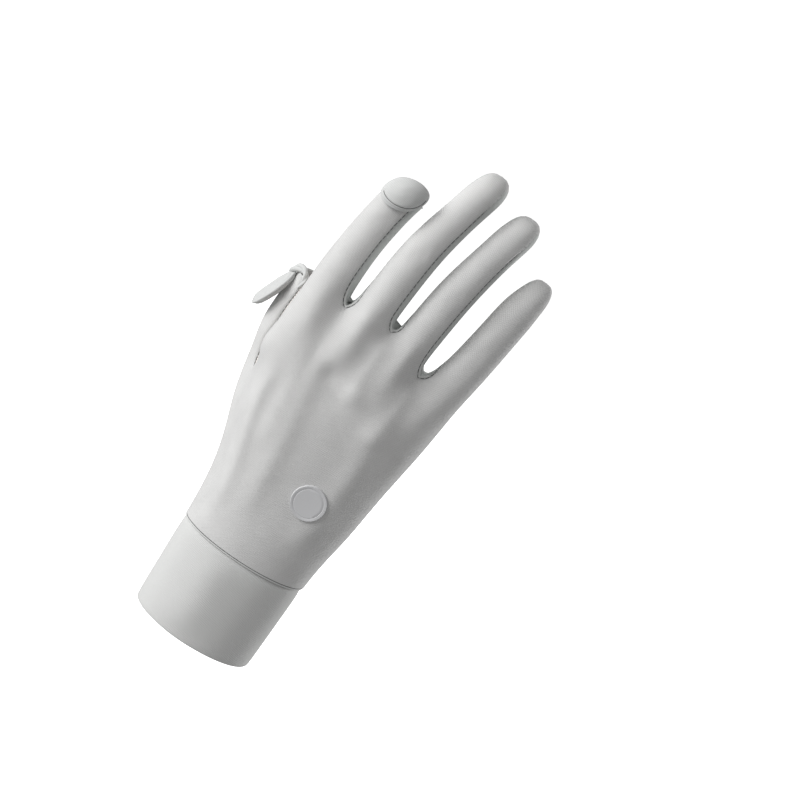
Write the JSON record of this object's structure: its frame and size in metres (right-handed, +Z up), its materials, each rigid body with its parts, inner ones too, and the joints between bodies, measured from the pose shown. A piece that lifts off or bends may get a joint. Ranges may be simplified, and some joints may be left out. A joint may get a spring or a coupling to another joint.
{
  "type": "sun glove",
  "caption": "Right-hand sun glove held in its worn form: smooth knit back, mesh palm, finger gussets, folded cuff, round plain badge and turned-back index and thumb caps.",
  "frame": {"origin": "middle of the cuff's open lower end, where the wrist goes in", "axes": "+Z up the glove to the fingertips, -Y the back of the hand, +Y the palm, +X the little finger's side"},
  "size_m": [0.0985, 0.0503, 0.226],
  "materials": {
    "back_knit": "smooth fine jersey, faint sheen",
    "palm_mesh": "honeycomb mesh knit with raised silicone grip dots",
    "fourchette_knit": "matt grey-green knit",
    "cuff_knit": "double-layer fine rib, matt",
    "cap_knit": "smooth fine jersey",
    "badge_rubber": "satin moulded rubber"
  },
  "bodies": {
    "root": {"back_panel": "back_knit", "palm_panel": "palm_mesh", "fourchette_index_middle": "fourchette_knit", "fourchette_middle_ring": "fourchette_knit", "fourchette_ring_little": "fourchette_knit", "cuff": "cuff_knit", "index_cap": "cap_knit", "thumb_cap": "cap_knit", "badge": "badge_rubber"}
  },
  "joints": []
}
